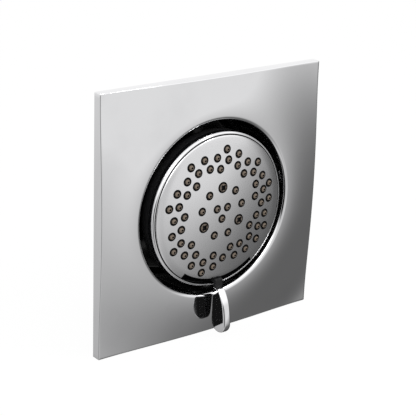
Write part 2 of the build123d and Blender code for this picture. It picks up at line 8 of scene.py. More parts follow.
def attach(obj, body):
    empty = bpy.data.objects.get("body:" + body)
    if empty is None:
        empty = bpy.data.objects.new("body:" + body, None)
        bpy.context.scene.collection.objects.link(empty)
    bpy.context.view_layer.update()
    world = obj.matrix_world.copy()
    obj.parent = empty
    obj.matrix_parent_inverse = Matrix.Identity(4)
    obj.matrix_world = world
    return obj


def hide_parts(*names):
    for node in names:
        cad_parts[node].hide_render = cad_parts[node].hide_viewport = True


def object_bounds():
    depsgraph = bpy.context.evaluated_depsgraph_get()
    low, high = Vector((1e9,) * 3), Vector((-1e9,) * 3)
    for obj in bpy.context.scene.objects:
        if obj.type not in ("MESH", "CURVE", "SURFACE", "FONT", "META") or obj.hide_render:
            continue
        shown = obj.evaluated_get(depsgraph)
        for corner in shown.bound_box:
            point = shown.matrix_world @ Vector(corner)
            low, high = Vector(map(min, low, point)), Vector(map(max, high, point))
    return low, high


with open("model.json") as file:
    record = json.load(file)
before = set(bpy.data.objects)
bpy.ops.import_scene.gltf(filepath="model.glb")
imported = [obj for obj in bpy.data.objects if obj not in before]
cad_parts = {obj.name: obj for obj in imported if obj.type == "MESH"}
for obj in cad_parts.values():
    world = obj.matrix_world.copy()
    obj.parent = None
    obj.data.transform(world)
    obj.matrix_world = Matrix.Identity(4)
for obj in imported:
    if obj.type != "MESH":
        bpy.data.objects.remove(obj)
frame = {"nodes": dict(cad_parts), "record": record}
cad_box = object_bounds()

bl_info = {
    "name": "Shower Body Jet",
    "version": (1, 0, 0),
    "blender": (4, 5, 0),
    "location": "View3D > Sidebar > Body Jet",
    "description": "Dresses the shower body jet's solids with smooth pieces, finishes and a small studio",
    "category": "Object",
}

MERGE_DISTANCE = 1e-6
SPRAY_AXIS = (0, 1, 0)
ORIGIN = (0, 0, 0)
ROUND_STEPS = 192
FINE_STEPS = 256


def length(name, description, millimetres):
    """A size property, given in millimetres and kept in metres."""
    default = millimetres / 1000
    return bpy.props.FloatProperty(
        name=name, description=description, default=default, unit="LENGTH", subtype="DISTANCE", precision=4
    )


def turn(name, description, degrees):
    """An angle property, given in degrees."""
    default = radians(degrees)
    return bpy.props.FloatProperty(name=name, description=description, default=default, subtype="ANGLE")


def colour(name, description, *rgb):
    """A colour property."""
    return bpy.props.FloatVectorProperty(
        name=name, description=description, default=rgb, subtype="COLOR", size=3, min=0, max=1
    )


class PlateSizes(bpy.types.PropertyGroup):
    """Sizes of the square plate and the cup behind it."""

    side: length("Side", "Outer side of the square plate", 152)
    corner_thickness: length("Corner thickness", "Height of the plate's front at its corners", 5.5)
    crest_height: length("Crest height", "Height of the dish round the opening", 9.1)
    crest_radius: length("Crest radius", "Radius at which the dish is highest", 53.6)
    flat_radius: length("Flat radius", "Radius at which the dish runs out into the corners", 104)
    opening_radius: length("Opening", "Radius of the round opening", 51.2)
    wall: length("Wall", "Thickness of the plate", 2.2)
    edge_round: length("Edge round", "Radius on the plate's front edges", 0.5)
    lip_height: length("Lip height", "Height at which the rolled rim ends inside the opening", 4.6)
    boss_radius: length("Boss radius", "Radius of the screw bosses behind the plate", 3.4)
    boss_circle: length("Boss circle", "Radius of the circle that the bosses stand on", 59.65)
    boss_back: length("Boss back", "Height of the bosses' rear ends", 3)
    boss_front: length("Boss front", "Height at which the bosses meet the plate", 7)
    pilot_radius: length("Pilot radius", "Radius of the hole in a boss", 1.35)
    cup_radius: length("Cup radius", "Outer radius of the cup", 53.4)
    cup_depth: length("Cup depth", "Depth of the cup behind the wall's face", 34)
    cup_floor: length("Cup floor", "Thickness of the cup's floor", 2.4)
    cup_round: length("Cup round", "Radius between the cup's wall and floor", 3)
    flange_radius: length("Flange radius", "Outer radius of the cup's flange", 65.9)
    flange_back: length("Flange back", "Height of the flange's rear face", 0.8)
    flange_front: length("Flange front", "Height of the flange's front face", 3)
    inlet_hole: length("Inlet hole", "Radius of the hole in the cup's floor", 12.3)
    wall_hole_circle: length("Wall hole circle", "Radius of the circle of wall screw holes", 39)
    wall_hole_radius: length("Wall hole", "Radius of a wall screw hole", 2.4)


class HeadSizes(bpy.types.PropertyGroup):
    """Sizes of the spray head."""

    bezel_radius: length("Bezel radius", "Outer radius of the chrome ring", 45.8)
    bezel_wall: length("Bezel wall", "Thickness of the chrome ring", 1.5)
    bezel_height: length("Bezel height", "Height of the chrome ring's front", 11.7)
    bezel_edge: length("Bezel edge", "Height at which the ring's bevel starts", 9.2)
    bezel_seat: length("Bezel seat", "Height of the chrome ring's rear", 7.8)
    face_radius: length("Face radius", "Radius of the spray face", 43.7)
    face_centre: length("Face centre", "Height of the spray face in the middle", 15.1)
    face_edge: length("Face edge", "Height of the spray face at its edge", 12.6)
    face_thickness: length("Face thickness", "Thickness of the spray face", 1.6)
    face_roll: length("Face roll", "Radius at which the spray face starts to roll off", 38.5)
    face_drop: length("Face drop", "How far the spray face rolls off at its edge", 0.45)
    slot_inner: length("Slot radius", "Inner radius of the curved slot for the lever", 40.6)
    slot_half: turn("Slot half angle", "Half of the angle that the slot spans", 35.4)
    small_hole: length("Small hole", "Radius of the hole round a small nozzle", 2.6)
    wide_hole: length("Wide hole", "Radius of the hole round a wide jet", 3.3)
    nozzle_root: length("Nozzle root", "Radius of a nozzle at the mat", 1.8)
    nozzle_base: length("Nozzle base", "Radius of a nozzle where it passes the face", 1.55)
    nozzle_tip: length("Nozzle tip", "Radius of a nozzle at its tip", 1.0)
    nozzle_bore: length("Nozzle bore", "Radius of a nozzle's bore", 0.55)
    nozzle_stand: length("Nozzle stand", "How far a nozzle stands out of the face", 1.15)
    # Painted shade starts below this height over the face, on nozzles and wide jets.
    nozzle_shade: length("Nozzle shade", "Height over the face below which a nozzle is dark", 0.4)
    jet_radius: length("Jet radius", "Radius of a wide jet", 2.6)
    jet_tip: length("Jet tip", "Radius of a wide jet at its tip", 2.25)
    jet_stand: length("Jet stand", "How far a wide jet stands out of the face", 0.6)
    jet_reach: length("Jet reach", "Radius that a wide jet's cross reaches", 1.9)
    jet_pocket: length("Jet pocket", "Radius of the pocket in the middle of the cross", 1.4)
    jet_slot: length("Jet slot", "Width of a wide jet's cross", 1.3)
    jet_slot_depth: length("Jet slot depth", "Depth of a wide jet's cross", 1.6)
    mat_radius: length("Mat radius", "Radius of the silicone mat", 39.5)
    mat_back: length("Mat back", "Height of the mat's rear", 9)


class NozzleLayout(bpy.types.PropertyGroup):
    """Where the nozzles stand: three in the middle, a ring of nine and a spiral band."""

    core_circle: length("Core circle", "Radius of the three middle nozzles", 4.2)
    core_start: turn("Core start", "Angle of the first middle nozzle", 30)
    ring_circle: length("Ring circle", "Radius of the ring of nine", 14.3)
    ring_start: turn("Ring start", "Angle of the ring's first nozzle", 10)
    band_circle: length("Band circle", "Radius at which the spiral band starts", 24.15)
    band_start: turn("Band start", "Angle at which the spiral band starts", 287.9)
    group_turn: turn("Group turn", "Angle from one group of the band to the next", 41.5)
    group_rise: length("Group rise", "How much each group lies further out", 0.27)
    spoke_turn: turn("Spoke turn", "Angle between the spokes of a group", 14.9)
    spoke_rise: length("Spoke rise", "How much each spoke starts further out", 2.48)
    row_lean: turn("Row lean", "Angle by which a spoke leans from row to row", 2.9)
    row_step: length("Row step", "Distance from the first row to the second", 6.84)
    row_shrink: length("Row shrink", "How much that distance shrinks with each spoke", 0.38)
    third_row: length("Third row", "Distance from the first row to the third", 11.9)


class LeverSizes(bpy.types.PropertyGroup):
    """Sizes of the lever's tab."""

    width: length("Width", "Width of the tab", 5)
    top: length("Top", "Radius of the tab's upper end", 46.3)
    top_height: length("Top height", "Height of the tab's front at its upper end", 17.3)
    back: length("Back", "Height of the tab's rear", 11.6)
    shoulder: length("Shoulder", "Radius of the front's shoulder", 50.4)
    shoulder_height: length("Shoulder height", "Height of the front's shoulder", 20.4)
    belly: length("Belly", "Radius of the front's belly", 56.2)
    belly_height: length("Belly height", "Height of the front's belly", 22.8)
    tip_circle: length("Tip", "Radius of the middle of the round lower end", 66.65)
    tip_radius: length("Tip radius", "Radius of the round lower end", 6.3)
    edge_round: length("Edge round", "Radius on the tab's long edges", 1.3)


class InletSizes(bpy.types.PropertyGroup):
    """Sizes of the brass inlet."""

    shank_radius: length("Shank radius", "Radius of the shank through the cup's floor", 12)
    shank_front: length("Shank front", "Depth of the shank's front end", 28.5)
    hex_width: length("Hexagon", "Width of the hexagon across its flats", 32)
    hex_front: length("Hexagon front", "Depth of the hexagon's front", 38.2)
    hex_back: length("Hexagon back", "Depth of the hexagon's rear", 44.7)
    barrel_radius: length("Barrel radius", "Radius of the threaded barrel", 13.2)
    barrel_back: length("Barrel back", "Depth of the barrel's open end", 53.7)
    thread_radius: length("Thread radius", "Radius of the thread's crests", 9.3)
    thread_depth: length("Thread depth", "Depth of the threaded socket", 13.5)
    thread_pitch: length("Thread pitch", "Distance from one crest to the next", 1.814)
    thread_height: length("Thread height", "Height of the thread's profile", 1.0)
    tail_radius: length("Tail radius", "Radius of the bore that takes the stem", 7.05)


class Colours(bpy.types.PropertyGroup):
    """Colours of the finishes."""

    chrome: colour("Chrome", "Polished plating", 0.8, 0.8, 0.81)
    chrome_haze: colour("Chrome haze", "Plating where water has dried", 0.76, 0.76, 0.77)
    satin: colour("Satin", "Plating of the spray face", 0.78, 0.78, 0.79)
    # Painted shade: near-black that stands in for the shadow on the walls of nozzle holes, bores and jet
    # slots.
    hole: colour("Hole", "Shadowed wall of a nozzle hole", 0.006, 0.006, 0.006)
    gloss_black: colour("Gloss black", "Black mouldings with a shine", 0.004, 0.004, 0.0045)
    matt_black: colour("Matt black", "Black mouldings", 0.012, 0.012, 0.013)
    natural: colour("Natural plastic", "Undyed low-friction plastic", 0.78, 0.77, 0.72)
    silicone: colour("Silicone", "Nozzle tips", 0.165, 0.13, 0.098)
    # Painted shade: the colour that nozzles and jets turn below the face, standing in for the shadow in their
    # holes.
    painted_shade_below_face: colour("Silicone shade", "Nozzles below the face", 0.01, 0.009, 0.008)
    jet: colour("Jet", "Wide jets", 0.125, 0.1, 0.078)
    rubber: colour("Rubber", "Seals", 0.018, 0.018, 0.018)
    foam: colour("Foam", "Gasket", 0.07, 0.07, 0.072)
    brass: colour("Brass", "Inlet and nut", 0.78, 0.58, 0.28)
    steel: colour("Steel", "Screws and sieve", 0.58, 0.58, 0.58)


class Value:
    """A shader socket that takes part in Python expressions."""

    def __init__(self, sheet, socket):
        self.sheet = sheet
        self.socket = socket

    def math(self, operation, first, second):
        """One Math node on two values or numbers."""
        return self.sheet.value("ShaderNodeMath", {"operation": operation}, {0: first, 1: second})

    def __add__(self, other):
        return self.math("ADD", self, other)

    def __radd__(self, other):
        return self.math("ADD", other, self)

    def __sub__(self, other):
        return self.math("SUBTRACT", self, other)

    def __rsub__(self, other):
        return self.math("SUBTRACT", other, self)

    def __mul__(self, other):
        return self.math("MULTIPLY", self, other)

    def __rmul__(self, other):
        return self.math("MULTIPLY", other, self)

    def least(self, other):
        """The smaller of two values."""
        return self.math("MINIMUM", self, other)


class NodeSheet:
    """A node tree that is filled node by node."""

    def __init__(self, tree):
        self.tree = tree
        self.tree.nodes.clear()

    def node(self, kind, settings=None, inputs=None):
        """Adds a node, sets its settings first and then its sockets' values or links."""
        node = self.tree.nodes.new(kind)
        for key, value in (settings or {}).items():
            setattr(node, key, value)
        for key, value in (inputs or {}).items():
            source = value.socket if isinstance(value, Value) else value
            if isinstance(source, bpy.types.NodeSocket):
                self.tree.links.new(source, node.inputs[key])
            else:
                node.inputs[key].default_value = source
        return node

    def value(self, kind, settings=None, inputs=None, output=0):
        """Adds a node and returns one of its outputs for use in expressions."""
        return Value(self, self.node(kind, settings, inputs).outputs[output])

    def ease(self, value, start, end):
        """0 before start, 1 after end and smooth between; start may be the larger."""
        sockets = {"Value": value, "From Min": start, "From Max": end}
        return self.value("ShaderNodeMapRange", {"interpolation_type": "SMOOTHSTEP"}, sockets)


class Finish(NodeSheet):
    """A material with one Principled shader, painted on Object coordinates."""

    def __init__(self, name):
        self.material = bpy.data.materials.new(name)
        self.material.use_nodes = True
        super().__init__(self.material.node_tree)
        self.place = self.node("ShaderNodeTexCoord").outputs["Object"]

    def noise(self, scale, detail=3.0):
        """Soft cloudy pattern with that many clouds to the metre."""
        return self.value("ShaderNodeTexNoise", {}, {"Vector": self.place, "Scale": scale, "Detail": detail})

    def cells(self, scale):
        """Distance to the nearest point of a scatter, for pores and grain."""
        return self.value("ShaderNodeTexVoronoi", {}, {"Vector": self.place, "Scale": scale})

    def along(self, axis):
        """One coordinate of the place on the object."""
        return self.value("ShaderNodeSeparateXYZ", {}, {0: self.place}, output=axis)

    def blend(self, mask, first, second):
        """Goes from the first colour to the second with a mask."""
        ends = [end if isinstance(end, Value) else (*end, 1) for end in (first, second)]
        sockets = {"Factor": mask, 6: ends[0], 7: ends[1]}
        return self.value("ShaderNodeMix", {"data_type": "RGBA"}, sockets, output=2)

    def bump(self, height, depth, strength=1.0):
        """A surface relief of that depth in metres."""
        return self.value("ShaderNodeBump", {}, {"Strength": strength, "Distance": depth, "Height": height})

    def surface(self, **sockets):
        """Closes the material; keys are the shader's sockets with underscores for spaces."""
        inputs = {key.replace("_", " "): value for key, value in sockets.items()}
        shader = self.node("ShaderNodeBsdfPrincipled", {}, inputs)
        self.node("ShaderNodeOutputMaterial", {}, {"Surface": shader.outputs[0]})
        return self.material


def colours():
    """The colours that the finishes are mixed from."""
    return bpy.context.scene.body_jet_colours


def darker(shade, share):
    """A share of a colour's light."""
    return [part * share for part in shade]


def polished_chrome():
    """Mirror plating with a breath of dried water and a faint ripple."""
    finish = Finish("polished_chrome")
    haze = finish.ease(finish.noise(26, 5), 0.45, 0.75)
    ripple = finish.noise(90, 2)
    return finish.surface(
        Base_Color=finish.blend(haze, colours().chrome, colours().chrome_haze),
        Metallic=1.0,
        Roughness=0.035 + 0.03 * haze,
        Normal=finish.bump(ripple, 0.00001, 0.35),
    )


def satin_chrome():
    """Softer plating on the spray face, with a fine tooth."""
    finish = Finish("satin_chrome")
    haze = finish.noise(40, 4)
    tooth = finish.noise(2500, 2)
    return finish.surface(
        Base_Color=finish.blend(haze, colours().satin, colours().chrome_haze),
        Metallic=1.0,
        Roughness=0.13 + 0.06 * haze,
        Normal=finish.bump(tooth, 0.000004, 0.5),
    )


def carrier_black_and_painted_shade():
    """Painted shade: near-black for the walls of nozzle holes, bores and jet slots; also the lever carrier's
    own matt black.
    """
    finish = Finish("carrier_black_and_painted_shade")
    grain = finish.noise(1500)
    return finish.surface(
        Base_Color=finish.blend(grain, colours().hole, colours().matt_black),
        Roughness=0.5 + 0.2 * grain,
        Specular_IOR_Level=0.2,
    )


def gloss_black():
    """Shiny black moulding with a little dust."""
    finish = Finish("gloss_black")
    dust = finish.ease(finish.noise(300, 6), 0.55, 0.8)
    return finish.surface(
        Base_Color=finish.blend(dust, colours().gloss_black, colours().matt_black),
        Roughness=0.12 + 0.12 * dust,
        Specular_IOR_Level=0.22,
    )


def matt_black():
    """Black moulding with a spark-eroded grain."""
    finish = Finish("matt_black")
    grain = finish.noise(1800, 4)
    return finish.surface(
        Base_Color=finish.blend(grain, colours().gloss_black, colours().matt_black),
        Roughness=0.4 + 0.2 * grain,
        Normal=finish.bump(grain, 0.00002, 0.5),
    )


def natural_plastic():
    """Undyed low-friction plastic."""
    finish = Finish("natural_plastic")
    cloud = finish.noise(120, 4)
    return finish.surface(
        Base_Color=finish.blend(cloud, colours().natural, darker(colours().natural, 0.85)),
        Roughness=0.35 + 0.2 * cloud,
        Normal=finish.bump(finish.noise(1500), 0.00002, 0.3),
    )


def darker_inside(finish, shade, mottle):
    """Mottled colour at the spray face that turns dark below it: painted shade down in the holes."""
    head = bpy.context.scene.body_jet_head
    across, depth, rise = (finish.along(axis) for axis in range(3))
    sag = (across * across + rise * rise) * (0.5 / dome_ball())
    level = sag - depth - head.face_centre
    # Painted shade: dark below the face level, where the holes are in shadow.
    painted_shade = finish.ease(level, head.nozzle_shade, head.nozzle_shade / 4)
    light = finish.blend(mottle, shade, darker(shade, 0.7))
    return finish.blend(painted_shade, light, colours().painted_shade_below_face)


def taupe_silicone():
    """Soft silicone of the nozzles."""
    finish = Finish("taupe_silicone")
    mottle = finish.noise(700, 4)
    return finish.surface(
        Base_Color=darker_inside(finish, colours().silicone, mottle),
        Roughness=0.4 + 0.15 * mottle,
        Specular_IOR_Level=0.3,
        Normal=finish.bump(mottle, 0.00003, 0.4),
    )


def taupe_moulding():
    """Dark taupe moulding of the wide jets."""
    finish = Finish("taupe_moulding")
    mottle = finish.noise(600, 4)
    return finish.surface(
        Base_Color=darker_inside(finish, colours().jet, mottle),
        Roughness=0.35 + 0.2 * mottle,
        Specular_IOR_Level=0.3,
        Normal=finish.bump(mottle, 0.00003, 0.3),
    )


def seal_rubber():
    """Black rubber with bloom."""
    finish = Finish("seal_rubber")
    bloom = finish.noise(250, 5)
    return finish.surface(
        Base_Color=finish.blend(bloom, colours().rubber, colours().foam),
        Roughness=0.55 + 0.25 * bloom,
        Normal=finish.bump(finish.noise(1800), 0.00003, 0.4),
    )


def closed_foam():
    """Foam with closed pores."""
    finish = Finish("closed_foam")
    pores = finish.cells(900)
    return finish.surface(
        Base_Color=finish.blend(pores, colours().rubber, colours().foam),
        Roughness=0.8 + 0.15 * pores,
        Normal=finish.bump(pores, 0.0003, 0.8),
    )


def machined(name, shade):
    """Turned metal: fine rings along the axis and a light tarnish."""
    finish = Finish(name)
    tarnish = finish.noise(60, 5)
    sockets = {"W": finish.along(1), "Scale": 9000, "Detail": 2.0}
    rings = finish.value("ShaderNodeTexNoise", {"noise_dimensions": "1D"}, sockets)
    return finish.surface(
        Base_Color=finish.blend(tarnish, shade, darker(shade, 0.8)),
        Metallic=1.0,
        Roughness=0.2 + 0.12 * tarnish + 0.08 * rings,
        Normal=finish.bump(rings, 0.00001, 0.5),
    )


def machined_brass():
    """Turned brass of the inlet and its nut."""
    return machined("machined_brass", colours().brass)


def machined_steel():
    """Stainless steel of the screws and the sieve."""
    return machined("machined_steel", colours().steel)


FINISHES = (
    polished_chrome,
    satin_chrome,
    carrier_black_and_painted_shade,
    gloss_black,
    matt_black,
    natural_plastic,
    taupe_silicone,
    taupe_moulding,
    seal_rubber,
    closed_foam,
    machined_brass,
    machined_steel,
)


def finish_named(name):
    """One of the finishes by name, made on first use."""
    if name not in bpy.data.materials:
        makers = {maker.__name__: maker for maker in FINISHES}
        makers[name]()
    return bpy.data.materials[name]


SLOT_FINISHES = {
    "plate_chrome": "polished_chrome",
    "lever_chrome": "polished_chrome",
    "bezel_chrome": "polished_chrome",
    "stem_chrome": "polished_chrome",
    "face_chrome": "satin_chrome",
    "black_gloss": "gloss_black",
    "black_plastic": "matt_black",
    "white_plastic": "natural_plastic",
    "silicone": "taupe_silicone",
    "jet_plastic": "taupe_moulding",
    "rubber": "seal_rubber",
    "foam": "closed_foam",
    "brass": "machined_brass",
    "steel": "machined_steel",
}

# The lever carrier takes the near-black of the hole walls as its own matt black.
NODE_FINISHES = {"lever_carrier": "carrier_black_and_painted_shade"}


def deselect():
    """Leaves nothing selected."""
    bpy.ops.object.select_all(action="DESELECT")


def activate(obj):
    """Selects one object alone."""
    deselect()
    obj.select_set(True)
    bpy.context.view_layer.objects.active = obj


def edit(obj=None):
    """Opens the object for editing with all of it selected."""
    if obj:
        activate(obj)
    bpy.ops.object.mode_set(mode="EDIT")
    bpy.ops.mesh.select_all(action="SELECT")


def close():
    """Leaves edit mode and returns the object."""
    bpy.ops.object.mode_set(mode="OBJECT")
    return bpy.context.object


def named(name):
    """Names the new object and its mesh."""
    obj = bpy.context.object
    obj.name = name
    obj.data.name = name
    return obj


def trace(name, points):
    """A chain of edges through points, extruded from one vertex; stays in edit mode."""
    deselect()
    bpy.ops.mesh.primitive_plane_add(size=0.01)
    named(name)
    edit()
    bpy.ops.mesh.merge(type="CENTER")
    here = Vector(points[0])
    bpy.ops.transform.translate(value=here)
    for point in points[1:]:
        step = Vector(point) - here
        bpy.ops.mesh.extrude_vertices_move(TRANSFORM_OT_translate={"value": step})
        here = Vector(point)


def fill_outline():
    """Closes the traced outline to a face, in edit mode."""
    bpy.ops.mesh.select_all(action="SELECT")
    bpy.ops.mesh.remove_doubles(threshold=MERGE_DISTANCE)
    bpy.ops.mesh.edge_face_add()


def settle():
    """Puts the new object's place, turn and size into its mesh."""
    bpy.ops.object.transform_apply(location=True, rotation=True, scale=True)
    return bpy.context.object


def tidy_mesh():
    """Merges doubles and turns all faces outwards, in edit mode."""
    bpy.ops.mesh.select_all(action="SELECT")
    bpy.ops.mesh.remove_doubles(threshold=MERGE_DISTANCE)
    bpy.ops.mesh.normals_make_consistent(inside=False)


def turned(name, outline, steps=ROUND_STEPS):
    """A round piece about the spray axis, from points of radius and height."""
    trace(name, [(radius, -height, 0) for radius, height in outline])
    bpy.ops.mesh.select_all(action="SELECT")
    bpy.ops.mesh.spin(steps=steps, angle=tau, center=ORIGIN, axis=SPRAY_AXIS)
    tidy_mesh()
    return close()


def rod(name, radius, low, high, steps):
    """A rod on the spray axis between two heights."""
    return turned(name, [(0, low), (radius, low), (radius, high), (0, high)], steps)


def copied(obj, offset):
    """A copy with its own mesh, which is moved while the origin stays."""
    activate(obj)
    bpy.ops.object.duplicate(linked=False)
    edit(bpy.context.object)
    bpy.ops.transform.translate(value=offset)
    return close()


def copies(obj, places):
    """Copies at places, for which the first piece is used up."""
    made = [copied(obj, place) for place in places]
    bpy.data.objects.remove(obj)
    return made


def joined(base, others):
    """Joins pieces into the first one."""
    deselect()
    for other in others:
        other.select_set(True)
    base.select_set(True)
    bpy.context.view_layer.objects.active = base
    bpy.ops.object.join()
    return base


def merged(pieces):
    """Joins a list of pieces into its first."""
    return joined(pieces[0], pieces[1:])


def apply_modifier(obj, kind, **settings):
    """Adds a modifier and applies it."""
    activate(obj)
    modifier = obj.modifiers.new(kind.lower(), kind)
    for key, value in settings.items():
        setattr(modifier, key, value)
    bpy.ops.object.modifier_apply(modifier=modifier.name)


def carve(obj, cutter, operation="DIFFERENCE"):
    """Cuts one closed piece with another, which is used up."""
    apply_modifier(obj, "BOOLEAN", operation=operation, solver="EXACT", object=cutter)
    bpy.data.objects.remove(cutter)
    return obj


def round_edges(obj, radius, angle, segments):
    """Rounds the edges that are sharper than an angle."""
    apply_modifier(
        obj,
        "BEVEL",
        width=radius,
        segments=segments,
        limit_method="ANGLE",
        angle_limit=radians(angle),
        harden_normals=False,
    )


def smooth(obj, angle=30):
    """Shades an object smooth, apart from edges sharper than an angle."""
    activate(obj)
    bpy.ops.object.shade_smooth_by_angle(angle=radians(angle))


def coated(obj, *finishes):
    """Gives an object its finishes by name."""
    obj.data.materials.clear()
    for finish in finishes:
        obj.data.materials.append(finish_named(finish))


def painted(obj, finish, other, test):
    """Gives an object a finish, and another one to the faces that pass a test."""
    coated(obj, finish, other)
    for face in obj.data.polygons:
        face.material_index = 1 if test(face) else 0


def finished(obj, body, slot, *nodes):
    """Gives a piece its finish and puts it in place of solids on their body."""
    if not obj.data.materials:
        coated(obj, SLOT_FINISHES[slot])
    smooth(obj)
    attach(obj, body)
    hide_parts(*nodes)


def arc(centre, radius, start, end, count):
    """Points on an arc of radius and height; angles in degrees from outwards to the front."""
    turns = [radians(start + (end - start) * i / count) for i in range(count + 1)]
    return [(centre[0] + radius * cos(t), centre[1] + radius * sin(t)) for t in turns]


def on_circle(radius, angle):
    """A place on a circle about the spray axis, seen from the front."""
    return Vector((radius * cos(angle), 0, radius * sin(angle)))


def radius_of(point):
    """Distance of a point from the spray axis."""
    return Vector((point.x, point.z)).length


def towards_corners(radius):
    """Four places on a circle, towards the plate's corners."""
    return [on_circle(radius, radians(45 + 90 * i)) for i in range(4)]


def on_face(places):
    """Places on the spray face, from radius and angle."""
    return [on_circle(radius, angle) - Vector((0, dome(radius), 0)) for radius, angle in places]


def small_nozzles():
    """Radius and angle of each small nozzle."""
    layout = bpy.context.scene.body_jet_nozzles
    places = [(layout.core_circle, layout.core_start + tau / 3 * i) for i in range(3)]
    places += [(layout.ring_circle, a) for i, a in enumerate(ring_angles()) if (i + 1) % 3]
    for group in range(9):
        for spoke in range(3):
            last = group == 8
            if last and spoke == 2:
                continue
            angle = layout.band_start + group * layout.group_turn + spoke * layout.spoke_turn
            radius = layout.band_circle + group * layout.group_rise + spoke * layout.spoke_rise
            places.append((radius, angle))
            if not (last and spoke == 1):
                places.append((radius + layout.row_step - spoke * layout.row_shrink, angle + layout.row_lean))
            if group in (1, 2) and spoke == 0:
                places.append((radius + layout.third_row, angle + 2 * layout.row_lean))
    return places


def ring_angles():
    """Angles of the ring of nine."""
    layout = bpy.context.scene.body_jet_nozzles
    return [layout.ring_start + tau / 9 * i for i in range(9)]


def wide_jets():
    """Radius and angle of the three wide jets."""
    layout = bpy.context.scene.body_jet_nozzles
    return [(layout.ring_circle, a) for a in ring_angles()[2::3]]


def dome_ball():
    """Radius of the ball that the spray face is a cap of."""
    head = bpy.context.scene.body_jet_head
    drop = head.face_centre - head.face_edge
    return (head.face_radius**2 + drop**2) / (2 * drop)


def dome(radius, below=0.0):
    """Height of the spray face, or of a surface that far below it, at a radius."""
    head = bpy.context.scene.body_jet_head
    ball = dome_ball()
    return head.face_centre - ball + sqrt((ball - below) ** 2 - radius**2)


def dome_points(radius, count, below=0.0):
    """Points along the face from the axis out to a radius."""
    radii = [radius * i / count for i in range(count + 1)]
    return [(r, dome(r, below)) for r in radii]


def dish(radius):
    """Height of the plate's front at a radius."""
    plate = bpy.context.scene.body_jet_plate
    share = (plate.flat_radius - radius) / (plate.flat_radius - plate.crest_radius)
    share = min(max(share, 0), 1)
    return plate.corner_thickness + (plate.crest_height - plate.corner_thickness) * (3 - 2 * share) * share**2


PLATE_CORNER_ROUND = 0.0005
PLATE_CORNER_STEPS = 4
PLATE_SIDE_CUTS = 71
PLATE_FRONT_ROWS = 48
PLATE_UNDER_ROWS = 24
RIM_STEPS = 14
EDGE_STEPS = 4
BOSS_STEPS = 48
OUTER_MARGIN = 2e-4
RIM_MARGIN = 1e-4


